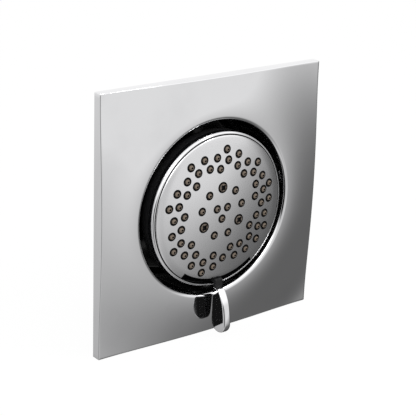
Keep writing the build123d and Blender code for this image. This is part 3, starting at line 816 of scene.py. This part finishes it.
class BODYJET_OT_trim_plate(bpy.types.Operator):
    """Square dished plate with a rolled rim, hollow behind, with four screw bosses"""

    bl_idname = "body_jet.trim_plate"
    bl_label = "Trim Plate"

    def execute(self, context):
        plate = context.scene.body_jet_plate
        half = plate.side / 2
        front = self.sheet("trim_plate_front", half - plate.edge_round, 0, PLATE_FRONT_ROWS)
        self.roll_rim(front, plate)
        self.turn_edge(front, plate)
        under = self.sheet("trim_plate_under", half - plate.wall, plate.wall, PLATE_UNDER_ROWS)
        obj = joined(front, [under])
        self.close_rims(obj, plate)
        joined(obj, copies(self.boss(plate), towards_corners(plate.boss_circle)))
        named("dished_plate")
        finished(obj, "wall_set", "plate_chrome", "trim_plate")
        return {"FINISHED"}

    def boss(self, plate):
        """A screw boss on the spray axis, with its pilot hole."""
        section = [
            (plate.pilot_radius, plate.boss_front),
            (plate.pilot_radius, plate.boss_back),
            (plate.boss_radius, plate.boss_back),
            (plate.boss_radius, plate.boss_front),
        ]
        return turned("boss", [*section, section[0]], BOSS_STEPS)

    def sheet(self, name, half_side, below, rows):
        """A sheet from the round crest out to a square edge, which follows the dish."""
        crest = bpy.context.scene.body_jet_plate.crest_radius
        deselect()
        bpy.ops.mesh.primitive_plane_add(size=2 * half_side, rotation=(pi / 2, 0, 0))
        settle()
        obj = named(name)
        edit()
        bpy.ops.mesh.bevel(affect="VERTICES", offset=PLATE_CORNER_ROUND, segments=PLATE_CORNER_STEPS)
        bpy.ops.mesh.delete(type="ONLY_FACE")
        close()
        self.divide_long_sides(obj, half_side)
        corners = len(obj.data.vertices)
        deselect()
        bpy.ops.mesh.primitive_circle_add(vertices=corners, radius=crest, rotation=(pi / 2, 0, 0))
        joined(obj, [settle()])
        edit(obj)
        bpy.ops.mesh.bridge_edge_loops(number_cuts=rows, interpolation="LINEAR")
        close()
        for vertex in obj.data.vertices:
            vertex.co.y = below - dish(radius_of(vertex.co))
        return obj

    def divide_long_sides(self, obj, half_side):
        """Divides the four straight sides, and not the small rounds between them."""
        edit(obj)
        bpy.ops.mesh.select_all(action="DESELECT")
        close()
        for edge in obj.data.edges:
            ends = [obj.data.vertices[i].co for i in edge.vertices]
            edge.select = (ends[0] - ends[1]).length > half_side
        bpy.ops.object.mode_set(mode="EDIT")
        bpy.ops.mesh.subdivide(number_cuts=PLATE_SIDE_CUTS)
        close()

    def select_loop(self, obj, test):
        """Selects the open edges whose ends pass a test of radius and largest side."""
        edit(obj)
        bpy.ops.mesh.select_mode(type="EDGE")
        bpy.ops.mesh.select_all(action="DESELECT")
        bpy.ops.mesh.select_non_manifold(
            extend=False, use_wire=False, use_multi_face=False, use_non_contiguous=False
        )
        close()
        points = obj.data.vertices
        for part in (*points, *obj.data.polygons):
            part.select = False
        for edge in obj.data.edges:
            ends = [points[i].co for i in edge.vertices]
            fits = [test(radius_of(end), max(abs(end.x), abs(end.z))) for end in ends]
            edge.select = edge.select and all(fits)
        for edge in obj.data.edges:
            if edge.select:
                for i in edge.vertices:
                    points[i].select = True
        bpy.ops.object.mode_set(mode="EDIT")

    def roll_rim(self, obj, plate):
        """Rolls the inner edge down into the opening."""
        roll = plate.crest_radius - plate.opening_radius
        near = plate.crest_radius + MERGE_DISTANCE
        self.select_loop(obj, lambda radius, side: radius < near)
        outline = arc((plate.crest_radius, plate.crest_height - roll), roll, 90, 180, RIM_STEPS)
        outline.append((plate.opening_radius, plate.lip_height))
        self.follow(outline)
        close()

    def follow(self, outline):
        """Extrudes the selected ring through points of radius and height."""
        radius, height = outline[0]
        for next_radius, next_height in outline[1:]:
            step = (0, height - next_height, 0)
            bpy.ops.mesh.extrude_edges_move(TRANSFORM_OT_translate={"value": step})
            self.widen(next_radius / radius)
            radius, height = next_radius, next_height

    def widen(self, scale):
        """Scales the selected ring about the spray axis."""
        bpy.ops.transform.resize(value=(scale, 1, scale), center_override=ORIGIN)

    def turn_edge(self, obj, plate):
        """Rounds the outer edge over, takes it to the wall and back in to the plate's thickness."""
        half = plate.side / 2
        limit = half - 2 * plate.edge_round
        self.select_loop(obj, lambda radius, side: side > limit)
        self.follow(arc((half - plate.edge_round, 0), plate.edge_round, 90, 0, EDGE_STEPS))
        bpy.ops.mesh.extrude_edges_move()
        bpy.ops.transform.resize(value=(1, 0, 1), center_override=ORIGIN)
        bpy.ops.mesh.extrude_edges_move()
        self.widen((half - plate.wall) / half)
        close()

    def close_rims(self, obj, plate):
        """Joins the front to the sheet behind it, outside and round the opening."""
        outer = plate.side / 2 - plate.wall - OUTER_MARGIN
        inner = plate.crest_radius + RIM_MARGIN
        self.select_loop(obj, lambda radius, side: side > outer)
        bpy.ops.mesh.bridge_edge_loops()
        close()
        self.select_loop(obj, lambda radius, side: radius < inner)
        bpy.ops.mesh.bridge_edge_loops()
        tidy_mesh()
        bpy.ops.mesh.select_mode(type="VERT")
        close()


CUP_BEND_STEPS = 8
SCREW_STEPS = 32
SINK_MARGIN = 0.0003
SINK_END = 0.005


class BODYJET_OT_recess_cup(bpy.types.Operator):
    """Black cup behind the opening, with its flange and screw holes"""

    bl_idname = "body_jet.recess_cup"
    bl_label = "Recess Cup"

    def execute(self, context):
        plate = context.scene.body_jet_plate
        inner = plate.opening_radius
        floor = -plate.cup_depth
        back = floor - plate.cup_floor
        bend = plate.cup_round
        outline = [(inner, plate.lip_height), (inner, floor + bend)]
        outline += arc((inner - bend, floor + bend), bend, 0, -90, CUP_BEND_STEPS)[1:]
        outline += [(plate.inlet_hole, floor), (plate.inlet_hole, back)]
        outline += arc((plate.cup_radius - bend, back + bend), bend, -90, 0, CUP_BEND_STEPS)
        outline += [
            (plate.cup_radius, plate.flange_back),
            (plate.flange_radius, plate.flange_back),
            (plate.flange_radius, plate.flange_front),
            (plate.cup_radius, plate.flange_front),
            (plate.cup_radius, plate.lip_height),
            (inner, plate.lip_height),
        ]
        obj = turned("moulded_cup", outline)
        hole = rod("hole", plate.wall_hole_radius, back - bend, floor + bend, SCREW_STEPS)
        carve(obj, merged(copies(hole, towards_corners(plate.wall_hole_circle))))
        carve(obj, merged(copies(self.sink(plate), towards_corners(plate.boss_circle))))
        finished(obj, "wall_set", "black_gloss", "recess_cup")
        return {"FINISHED"}

    def sink(self, plate):
        """Cutter for a countersunk screw hole in the flange."""
        pilot = plate.pilot_radius
        wide = 2 * pilot
        back = plate.flange_back
        section = [
            (0, back - SINK_MARGIN),
            (wide + SINK_MARGIN, back - SINK_MARGIN),
            (wide, back),
            (pilot, back + wide - pilot),
            (pilot, SINK_END),
            (0, SINK_END),
        ]
        return turned("sink", section, SCREW_STEPS)


RING_BEVEL_STEPS = 12
RING_CHAMFER_HEIGHT = 0.0001
RING_CHAMFER_WIDTH = 0.00008
RING_STRAIGHT_SIDE = 0.1


class BODYJET_OT_bezel_ring(bpy.types.Operator):
    """Chrome ring round the spray face, with a painted dark reflection on its straight sides"""

    bl_idname = "body_jet.bezel_ring"
    bl_label = "Bezel Ring"

    def execute(self, context):
        head = context.scene.body_jet_head
        inner = head.bezel_radius - head.bezel_wall
        land = inner + head.bezel_wall / 6
        fall = head.bezel_height - head.bezel_edge
        reach = head.bezel_radius - land
        start = (inner, head.bezel_height - RING_CHAMFER_HEIGHT)
        outline = [start, (inner, head.bezel_seat), (head.bezel_radius, head.bezel_seat)]
        quarter = [pi / 2 * i / RING_BEVEL_STEPS for i in range(RING_BEVEL_STEPS + 1)]
        outline += [(land + reach * cos(t), head.bezel_edge + fall * sin(t)) for t in quarter]
        outline += [(inner + RING_CHAMFER_WIDTH, head.bezel_height), start]
        obj = turned("chrome_ring", outline, FINE_STEPS)
        # Painted reflection: the straight sides are gloss black, standing in for the dark cup that they
        # mirror.
        painted(obj, "polished_chrome", "gloss_black", lambda face: abs(face.normal.y) < RING_STRAIGHT_SIDE)
        finished(obj, "head", "bezel_chrome", "bezel_ring")
        return {"FINISHED"}


FACE_ROUND = 0.0003
FACE_FRONT_STEPS = 80
FACE_BACK_STEPS = 12
FACE_STEEP_WALL = 0.3
HOLE_STEPS = 40
HOLE_LOW = -0.004
HOLE_HIGH = 0.002
SLOT_STEPS = 48
SLOT_LOW = 0.005
SLOT_HIGH = 0.02


class BODYJET_OT_face_plate(bpy.types.Operator):
    """Domed spray face with its nozzle holes and the curved slot"""

    bl_idname = "body_jet.face_plate"
    bl_label = "Spray Face"

    def execute(self, context):
        head = context.scene.body_jet_head
        front = dome_points(head.face_radius - FACE_ROUND, FACE_FRONT_STEPS)
        outline = [(radius, height - self.roll(head, radius)) for radius, height in front]
        edge = head.face_edge - head.face_drop
        bend = 0.3 * FACE_ROUND
        outline += [(head.face_radius - bend, edge - bend), (head.face_radius, edge - FACE_ROUND)]
        outline += reversed(dome_points(head.face_radius, FACE_BACK_STEPS, head.face_thickness))
        obj = turned("spray_face", outline)
        cutters = self.cutters(head.small_hole, small_nozzles())
        cutters += self.cutters(head.wide_hole, wide_jets())
        carve(obj, merged(cutters))
        carve(obj, self.slot(head))
        # Painted shade: the steep walls of the holes and the slot are near-black.
        painted(obj, "satin_chrome", "carrier_black_and_painted_shade", lambda face: abs(face.normal.y) < FACE_STEEP_WALL)
        finished(obj, "head", "face_chrome", "face_plate")
        return {"FINISHED"}

    def roll(self, head, radius):
        """How far the face rolls off at a radius."""
        share = (radius - head.face_roll) / (head.face_radius - head.face_roll)
        return head.face_drop * max(share, 0) ** 2

    def cutters(self, radius, places):
        """Cutters for holes of one radius."""
        return copies(rod("cutter", radius, HOLE_LOW, HOLE_HIGH, HOLE_STEPS), on_face(places))

    def slot(self, head):
        """Cutter for the curved slot under the middle."""
        inner = head.slot_inner
        outer = 2 * head.face_radius - inner
        start = 3 * pi / 2 - head.slot_half
        corners = ((inner, SLOT_HIGH), (outer, SLOT_HIGH), (outer, SLOT_LOW), (inner, SLOT_LOW))
        points = [on_circle(radius, start) - Vector((0, height, 0)) for radius, height in corners]
        trace("slot_cutter", [*points, points[0]])
        fill_outline()
        bpy.ops.mesh.spin(steps=SLOT_STEPS, angle=2 * head.slot_half, center=ORIGIN, axis=SPRAY_AXIS)
        tidy_mesh()
        return close()


MAT_STEPS = 96
MAT_FRONT_STEPS = 10
PASSAGE_RADIUS = 0.00285
NOZZLE_STEPS = 24
NOZZLE_SINK = 0.0002
NOZZLE_ROUND = 0.00025
TIP_STEPS = 4
BORE_FLARE = 0.00012
BORE_FLARE_DROP = 0.00005
BORE_FLARE_END = 0.0002


class BODYJET_OT_nozzles(bpy.types.Operator):
    """Silicone mat with its tapered nozzles"""

    bl_idname = "body_jet.nozzles"
    bl_label = "Nozzles"

    def execute(self, context):
        head = context.scene.body_jet_head
        outline = [(0, head.mat_back), (head.mat_radius, head.mat_back)]
        outline += reversed(dome_points(head.mat_radius, MAT_FRONT_STEPS, head.face_thickness))
        obj = turned("nozzle_mat_soft", outline, MAT_STEPS)
        passage = rod("passage", PASSAGE_RADIUS, SLOT_LOW, SLOT_HIGH, HOLE_STEPS)
        carve(obj, merged(copies(passage, [on_circle(*place) for place in wide_jets()])))
        coated(obj, "taupe_silicone", "carrier_black_and_painted_shade")
        joined(obj, copies(self.nozzle(head), on_face(small_nozzles())))
        finished(obj, "head", "silicone", "nozzle_mat")
        return {"FINISHED"}

    def nozzle(self, head):
        """A nozzle on the spray axis, with painted shade in its bore."""
        root = -head.face_thickness - NOZZLE_SINK
        tip = head.nozzle_stand
        bore = head.nozzle_bore
        middle = (head.nozzle_tip - NOZZLE_ROUND, tip - NOZZLE_ROUND)
        outline = [(head.nozzle_root, root), (head.nozzle_base, 0)]
        outline += arc(middle, NOZZLE_ROUND, 20, 90, TIP_STEPS)
        outline += [(bore + BORE_FLARE, tip - BORE_FLARE_DROP), (bore, tip - BORE_FLARE_END), (bore, root)]
        obj = turned("nozzle", [*outline, outline[0]], NOZZLE_STEPS)
        # Painted shade: the bore is near-black.
        painted_shade_radius = bore + BORE_FLARE / 2
        painted(obj, "taupe_silicone", "carrier_black_and_painted_shade", lambda face: radius_of(face.center) < painted_shade_radius)
        return obj


JET_ROUND = 0.00035
POCKET_STEPS = 32


class BODYJET_OT_wide_jets(bpy.types.Operator):
    """Three wide jets with a cross-shaped orifice"""

    bl_idname = "body_jet.wide_jets"
    bl_label = "Wide Jets"

    def execute(self, context):
        head = context.scene.body_jet_head
        jet = self.jet(head, dome(context.scene.body_jet_nozzles.ring_circle))
        obj = merged(copies(jet, [on_circle(*place) for place in wide_jets()]))
        activate(obj)
        named("wide_jet_inserts")
        finished(obj, "head", "jet_plastic", "massage_jets")
        return {"FINISHED"}

    def jet(self, head, level):
        """A jet on the spray axis, for a place where the face has that height."""
        tip = level + head.jet_stand
        low = tip - head.jet_slot_depth
        outline = [(0, head.mat_back), (head.jet_radius, head.mat_back)]
        outline.append((head.jet_radius, level - head.face_thickness))
        outline += arc((head.jet_tip - JET_ROUND, tip - JET_ROUND), JET_ROUND, 0, 90, TIP_STEPS)
        outline.append((0, tip))
        obj = turned("jet", outline, HOLE_STEPS)
        size = (2 * head.jet_reach, 2 * head.jet_slot_depth, head.jet_slot)
        for angle in (pi / 4, -pi / 4):
            deselect()
            bpy.ops.mesh.primitive_cube_add(size=1, location=(0, -tip, 0), rotation=(0, angle, 0), scale=size)
            carve(obj, settle())
        carve(obj, rod("pocket", head.jet_pocket, low, tip + JET_ROUND, POCKET_STEPS))
        margin = JET_ROUND / 10
        reach = head.jet_reach + margin

        # Painted shade: the faces down in the cross and the pocket are near-black.
        def painted_shade_faces(face):
            painted_shade = low - JET_ROUND < -face.center.y < tip - margin
            return painted_shade and radius_of(face.center) < reach

        painted(obj, "taupe_moulding", "carrier_black_and_painted_shade", painted_shade_faces)
        return obj


LEVER_CURVE_STEPS = 10
LEVER_TIP_STEPS = 24
LEVER_EDGE_ANGLE = 50
LEVER_EDGE_STEPS = 6
LEVER_BACK_FACING = 0.05


class BODYJET_OT_lever(bpy.types.Operator):
    """Chrome tab that switches the spray, with painted shade on its back"""

    bl_idname = "body_jet.lever"
    bl_label = "Lever"

    def execute(self, context):
        tab = context.scene.body_jet_lever
        knots = [
            (tab.top, tab.top_height),
            (tab.shoulder, tab.shoulder_height),
            (tab.belly, tab.belly_height),
            (tab.tip_circle, tab.back + 2 * tab.tip_radius),
        ]
        outline = [(tab.top, tab.back), *self.flowing(knots, LEVER_CURVE_STEPS)]
        middle = (tab.tip_circle, tab.back + tab.tip_radius)
        outline += arc(middle, tab.tip_radius, 90, -90, LEVER_TIP_STEPS)[1:]
        points = [(-tab.width / 2, -height, -radius) for radius, height in outline]
        trace("lever_tab", [*points, points[0]])
        fill_outline()
        bpy.ops.mesh.extrude_region_move(TRANSFORM_OT_translate={"value": (tab.width, 0, 0)})
        tidy_mesh()
        obj = close()
        round_edges(obj, tab.edge_round, LEVER_EDGE_ANGLE, LEVER_EDGE_STEPS)
        # Painted shade: the back faces are gloss black, so that the tab's mirror image in the plate stays
        # dark.
        painted(obj, "polished_chrome", "gloss_black", lambda face: face.normal.y > LEVER_BACK_FACING)
        finished(obj, "selector", "lever_chrome", "lever")
        return {"FINISHED"}

    def flowing(self, knots, count):
        """A smooth curve through points, which leaves at 45 degrees and ends level."""
        places = [Vector(knot) for knot in knots]
        slopes = [Vector((1, 1)).normalized() * (places[1] - places[0]).length]
        slopes += [(after - before) / 2 for before, after in zip(places, places[2:])]
        slopes.append(Vector((1, 0)) * (places[-1] - places[-2]).length)
        points = [knots[0]]
        for i in range(len(places) - 1):
            for k in range(1, count + 1):
                t = k / count
                place = places[i] * (2 * t**3 - 3 * t**2 + 1) + places[i + 1] * (3 * t**2 - 2 * t**3)
                place += slopes[i] * (t**3 - 2 * t**2 + t) + slopes[i + 1] * (t**3 - t**2)
                points.append(tuple(place))
        return points


INLET_STEPS = 96
INLET_BEVEL = 0.0006
HEXAGON_OVERLAP = 0.0002
THREAD_STEPS = 48
THREAD_RUN_OUT = 0.001
THREAD_START = 0.0007


class BODYJET_OT_inlet(bpy.types.Operator):
    """Brass inlet with a hexagon and a threaded socket"""

    bl_idname = "body_jet.inlet"
    bl_label = "Inlet"

    def execute(self, context):
        inlet = context.scene.body_jet_inlet
        root = inlet.thread_radius + inlet.thread_height
        socket_end = inlet.barrel_back - inlet.thread_depth
        outline = [
            (inlet.tail_radius, -inlet.shank_front),
            (inlet.shank_radius - INLET_BEVEL, -inlet.shank_front),
            (inlet.shank_radius, -inlet.shank_front - INLET_BEVEL),
            (inlet.shank_radius, -inlet.hex_front),
            (inlet.shank_radius, -inlet.hex_back),
            (inlet.barrel_radius, -inlet.hex_back),
            (inlet.barrel_radius, -inlet.barrel_back + INLET_BEVEL),
            (inlet.barrel_radius - INLET_BEVEL, -inlet.barrel_back),
            (root + INLET_BEVEL, -inlet.barrel_back),
            (root, -inlet.barrel_back + INLET_BEVEL),
            (root, -socket_end),
            (inlet.tail_radius, -socket_end),
        ]
        obj = turned("brass_inlet", [*outline, outline[0]], INLET_STEPS)
        joined(obj, [self.hexagon(inlet), self.thread(inlet, root)])
        finished(obj, "wall_set", "brass", "inlet_fitting")
        return {"FINISHED"}

    def hexagon(self, inlet):
        """Hexagon whose corners are turned off at both ends, with a hole for the shank."""
        flat = inlet.hex_width / 2
        corner = flat / cos(pi / 6)
        low, high = -inlet.hex_back, -inlet.hex_front
        middle = (0, -(low + high) / 2, 0)
        deselect()
        bpy.ops.mesh.primitive_cylinder_add(
            vertices=6, radius=corner, depth=high - low, location=middle, rotation=(pi / 2, pi / 6, 0)
        )
        settle()
        nut = named("hexagon")
        fall = (corner - flat) / 2
        hole = inlet.shank_radius - HEXAGON_OVERLAP
        section = [(hole, low), (flat, low), (corner, low + fall)]
        section += [(corner, high - fall), (flat, high), (hole, high)]
        return carve(nut, turned("blank", [*section, section[0]], INLET_STEPS), "INTERSECT")

    def thread(self, inlet, root):
        """Helical ridge in the socket."""
        pitch = inlet.thread_pitch
        crest = inlet.thread_radius
        turns = int((inlet.thread_depth - THREAD_RUN_OUT) / pitch)
        middle = inlet.barrel_back - THREAD_START - pitch * turns + pitch / 2
        tooth = [(root, -pitch / 2), (crest, -pitch / 12), (crest, pitch / 12), (root, pitch / 2)]
        trace("thread", [(radius, middle + along, 0) for radius, along in tooth])
        obj = close()
        apply_modifier(
            obj,
            "SCREW",
            axis="Y",
            angle=tau,
            screw_offset=pitch,
            iterations=turns - 1,
            steps=THREAD_STEPS,
            render_steps=THREAD_STEPS,
            use_merge_vertices=True,
        )
        edit(obj)
        tidy_mesh()
        return close()


class BODYJET_OT_finishes(bpy.types.Operator):
    """Finishes on the solids that are shown as they are"""

    bl_idname = "body_jet.finishes"
    bl_label = "Finishes"

    def execute(self, context):
        for part in frame["record"]["subparts"]:
            finish = NODE_FINISHES.get(part["node"], SLOT_FINISHES[part["material_slot"]])
            coated(frame["nodes"][part["node"]], finish)
        return {"FINISHED"}


FLOOR_SIZE = 8
FLOOR_GAP = 0.0002
FLOOR_WHITE = 0.96
PAPER = (0.85, 0.85, 0.85, 1)
WHITE = (1, 1, 1, 1)

# An edge has two parts of a unit direction, to the right, back or up, where an effect starts and is full.
FRONT_EDGE = (0.25, -0.35)
SWEEP_LEAN = 1.134
SWEEP_EDGE = (-1.263, -0.456)
SWEEP_LEVEL = 1.8
SWEEP_RIGHT_EDGE = (0.575, 1.042)
SWEEP_LEFT_SHADE = 0.7
SWEEP_LEFT_EDGE = (0.69, 0.242)
SWEEP_LOW_EDGE = (0.1, -0.05)
SWEEP_CAP = 0.742
OVERHEAD_LEVEL = 0.4
OVERHEAD_EDGE = (0.0, 0.4)
FILL_LEVEL = 0.127
DIM_LEVEL = 0.01
LEFT_FLAG_SIDE = (-0.25, -0.5)
LEFT_FLAG_TOP = (0.25, -0.1)
RIGHT_FLAG_SIDE = (0.1, 0.5)
RIGHT_FLAG_TOP = (0.05, -0.2)
RIGHT_FLAG_SHADE = 0.9
BEHIND_LEVEL = 0.45
BEHIND_RISE = 0.6
BEHIND_EDGE = (-0.6, 0.1)

LAMPS = (
    {"name": "key", "place": (-0.7, -0.9, 0.9), "size": 0.7, "power": 6.0},
    {"name": "glint", "place": (0.35, -0.6, 0.75), "size": 0.2, "power": 1.2},
)

CAMERA_AZIMUTH = radians(-38.3)
CAMERA_ELEVATION = radians(19.76)
CAMERA_ROLL = radians(2.12)
CAMERA_TARGET = (0.00161, 0, -0.00271)
CAMERA_DISTANCE = 0.7374
CAMERA_LENS = 111.44
CAMERA_SENSOR = 36


class BODYJET_OT_studio(bpy.types.Operator):
    """Floor, light and camera"""

    bl_idname = "body_jet.studio"
    bl_label = "Studio"

    def execute(self, context):
        self.floor()
        self.world(context.scene)
        self.lamps()
        self.camera(context.scene)
        context.scene.view_settings.view_transform = "Standard"
        return {"FINISHED"}

    def floor(self):
        """Pale floor under the plate: white to the camera, with a trace of the shadow."""
        deselect()
        bpy.ops.mesh.primitive_plane_add(size=FLOOR_SIZE, location=(0, 0, cad_box[0][2] - FLOOR_GAP))
        obj = named("floor")
        material = bpy.data.materials.new("pale_floor")
        material.use_nodes = True
        sheet = NodeSheet(material.node_tree)
        path = sheet.node("ShaderNodeLightPath")
        seen = Value(sheet, path.outputs["Is Camera Ray"]) * FLOOR_WHITE
        mirrored = path.outputs["Is Glossy Ray"]
        paper = sheet.value("ShaderNodeBsdfDiffuse", {}, {"Color": PAPER})
        white = sheet.value("ShaderNodeEmission", {}, {"Color": WHITE, "Strength": 1.0})
        clear = sheet.value("ShaderNodeBsdfTransparent")
        lit = sheet.value("ShaderNodeMixShader", {}, {0: seen, 1: paper, 2: white})
        top = sheet.value("ShaderNodeMixShader", {}, {0: mirrored, 1: lit, 2: clear})
        sheet.node("ShaderNodeOutputMaterial", {}, {"Surface": top})
        obj.data.materials.append(material)

    def world(self, scene):
        """White to the camera; for the metal a sweep that falls off downwards and to the right."""
        scene.world = bpy.data.worlds.new("studio_sweep")
        scene.world.use_nodes = True
        sheet = NodeSheet(scene.world.node_tree)
        ease = sheet.ease
        way = sheet.node("ShaderNodeTexCoord").outputs["Generated"]
        split = sheet.node("ShaderNodeSeparateXYZ", {}, {0: way})
        right, back, up = (Value(sheet, output) for output in split.outputs)
        front = ease(back, *FRONT_EDGE)
        rise = ease(up - SWEEP_LEAN * right, *SWEEP_EDGE)
        lobe = SWEEP_LEVEL * rise * (1 - ease(right, *SWEEP_RIGHT_EDGE))
        low_left = ease(right, *SWEEP_LEFT_EDGE) * ease(up, *SWEEP_LOW_EDGE)
        lobe = lobe * (1 - SWEEP_LEFT_SHADE * low_left)
        lobe = lobe.least(SWEEP_CAP + OVERHEAD_LEVEL * ease(up, *OVERHEAD_EDGE))
        left_flag = ease(right, *LEFT_FLAG_SIDE) * ease(up, *LEFT_FLAG_TOP) * ease(back, *LEFT_FLAG_SIDE)
        right_flag = ease(right, *RIGHT_FLAG_SIDE) * ease(up, *RIGHT_FLAG_TOP)
        behind = (BEHIND_LEVEL + BEHIND_RISE * ease(up, *BEHIND_EDGE)) * (1 - RIGHT_FLAG_SHADE * right_flag)
        light = DIM_LEVEL + (FILL_LEVEL + lobe) * (1 - left_flag) * front + behind * (1 - front)
        seen = Value(sheet, sheet.node("ShaderNodeLightPath").outputs["Is Camera Ray"])
        level = light + seen * (1 - light)
        glow = sheet.value("ShaderNodeBackground", {}, {"Color": WHITE, "Strength": level})
        sheet.node("ShaderNodeOutputWorld", {}, {"Surface": glow})

    def lamps(self):
        """A large soft lamp from the upper left and a small one for glints."""
        for lamp in LAMPS:
            bpy.ops.object.light_add(type="AREA", location=lamp["place"])
            obj = bpy.context.object
            obj.name = lamp["name"]
            obj.data.energy = lamp["power"]
            obj.data.size = lamp["size"]
            obj.rotation_euler = Vector(lamp["place"]).to_track_quat("Z", "Y").to_euler()

    def camera(self, scene):
        """Camera in front of the plate, to its left and a little above."""
        across, away = cos(CAMERA_AZIMUTH), sin(CAMERA_AZIMUTH)
        level, high = cos(CAMERA_ELEVATION), sin(CAMERA_ELEVATION)
        back = Vector((away * level, -across * level, high))
        side = Vector((across, away, 0))
        head = back.cross(side)
        right = cos(CAMERA_ROLL) * side + sin(CAMERA_ROLL) * head
        up = cos(CAMERA_ROLL) * head - sin(CAMERA_ROLL) * side
        data = bpy.data.cameras.new("camera")
        data.sensor_width = CAMERA_SENSOR
        data.lens = CAMERA_LENS
        obj = bpy.data.objects.new("camera", data)
        place = Matrix.Translation(Vector(CAMERA_TARGET) + CAMERA_DISTANCE * back)
        obj.matrix_world = place @ Matrix((right, up, back)).transposed().to_4x4()
        scene.collection.objects.link(obj)
        scene.camera = obj


GROUPS = (
    ("body_jet_plate", PlateSizes),
    ("body_jet_head", HeadSizes),
    ("body_jet_nozzles", NozzleLayout),
    ("body_jet_lever", LeverSizes),
    ("body_jet_inlet", InletSizes),
    ("body_jet_colours", Colours),
)

BUILDERS = (
    BODYJET_OT_finishes,
    BODYJET_OT_trim_plate,
    BODYJET_OT_recess_cup,
    BODYJET_OT_bezel_ring,
    BODYJET_OT_face_plate,
    BODYJET_OT_nozzles,
    BODYJET_OT_wide_jets,
    BODYJET_OT_lever,
    BODYJET_OT_inlet,
    BODYJET_OT_studio,
)


class BODYJET_PT_panel(bpy.types.Panel):
    """Lists what builds the body jet"""

    bl_idname = "BODYJET_PT_panel"
    bl_label = "Body Jet"
    bl_space_type = "VIEW_3D"
    bl_region_type = "UI"
    bl_category = "Body Jet"

    def draw(self, context):
        for builder in BUILDERS:
            self.layout.operator(builder.bl_idname)
        for name, group in GROUPS:
            box = self.layout.box()
            for key in group.__annotations__:
                box.prop(getattr(context.scene, name), key)


def register():
    for name, group in GROUPS:
        bpy.utils.register_class(group)
        setattr(bpy.types.Scene, name, bpy.props.PointerProperty(type=group))
    for builder in BUILDERS:
        bpy.utils.register_class(builder)
    bpy.utils.register_class(BODYJET_PT_panel)


def unregister():
    bpy.utils.unregister_class(BODYJET_PT_panel)
    for builder in reversed(BUILDERS):
        bpy.utils.unregister_class(builder)
    for name, group in reversed(GROUPS):
        delattr(bpy.types.Scene, name)
        bpy.utils.unregister_class(group)


def main():
    register()
    bpy.ops.body_jet.finishes()
    bpy.ops.body_jet.trim_plate()
    bpy.ops.body_jet.recess_cup()
    bpy.ops.body_jet.bezel_ring()
    bpy.ops.body_jet.face_plate()
    bpy.ops.body_jet.nozzles()
    bpy.ops.body_jet.wide_jets()
    bpy.ops.body_jet.lever()
    bpy.ops.body_jet.inlet()
    bpy.ops.body_jet.studio()


if __name__ == "__main__":
    main()
